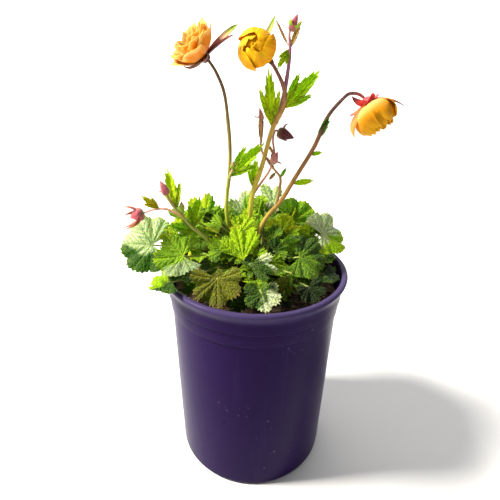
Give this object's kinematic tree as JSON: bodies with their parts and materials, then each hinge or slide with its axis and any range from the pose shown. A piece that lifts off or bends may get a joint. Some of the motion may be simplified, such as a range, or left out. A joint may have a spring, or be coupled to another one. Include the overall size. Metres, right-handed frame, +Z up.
{
  "type": "potted geum",
  "caption": "Perennial geum in a tapered round nursery pot: a mound of pleated basal leaves, hairy leafy stems and nodding orange-yellow semi-double blooms and buds.",
  "frame": {"origin": "centre of the pot's flat underside", "axes": "+Z up along the pot's axis and the plant; -Y is the side that the plant shows best"},
  "size_m": [0.2072, 0.15, 0.361],
  "materials": {
    "pot": "satin deep purple injection-moulded plastic, scuffed",
    "soil": "damp dark bark-based potting mix",
    "crown": "brown woody crown with old leaf bases",
    "leaf": "softly hairy green leaf, satin, with sunken veins",
    "stem": "hairy green to maroon stem",
    "petals": "silky orange-yellow petal",
    "calyx": "downy maroon calyx and buds",
    "stamens": "powdery yellow stamens"
  },
  "bodies": {
    "root": {"pot": "pot", "soil": "soil", "crown": "crown", "leaf_far_left": "leaf", "leaf_left": "leaf", "leaf_left_rim": "leaf", "leaf_front_brown": "leaf", "leaf_front_bright": "leaf", "leaf_front_drooping": "leaf", "leaf_front_rim": "leaf", "leaf_front_pointed": "leaf", "leaf_front_dark": "leaf", "leaf_right_dark": "leaf", "leaf_right_low": "leaf", "leaf_right_middle": "leaf", "leaf_right": "leaf", "leaf_right_shade": "leaf", "leaf_right_back": "leaf", "leaf_middle_rugose": "leaf", "leaf_middle_pale": "leaf", "leaf_middle_yellow": "leaf", "leaf_left_yellow": "leaf", "leaf_left_inner": "leaf", "leaf_left_upper": "leaf", "leaf_back_left": "leaf", "leaf_back_middle": "leaf", "leaf_back_right": "leaf", "leaf_back_far_right": "leaf", "leaf_left_deep": "leaf", "leaf_middle_right": "leaf", "leaf_right_front": "leaf", "leaf_back_inner": "leaf", "leaf_right_inner": "leaf", "leaf_back_high": "leaf", "leaf_back_top": "leaf", "leaf_right_top": "leaf", "stem_left": "stem", "stem_middle": "stem", "stem_right": "stem", "stem_low": "stem", "bud_top": "calyx", "bud_hooked": "calyx", "bud_slender": "calyx", "bud_side": "calyx", "bud_left_upper": "calyx", "bud_left_open": "calyx", "bud_left_small": "calyx", "bud_axil": "calyx", "petals_left": "petals", "petals_middle": "petals", "petals_right": "petals", "calyx_left": "calyx", "calyx_middle": "calyx", "calyx_right": "calyx", "stamens_left": "stamens", "stamens_middle": "stamens", "stamens_right": "stamens"}
  },
  "joints": []
}
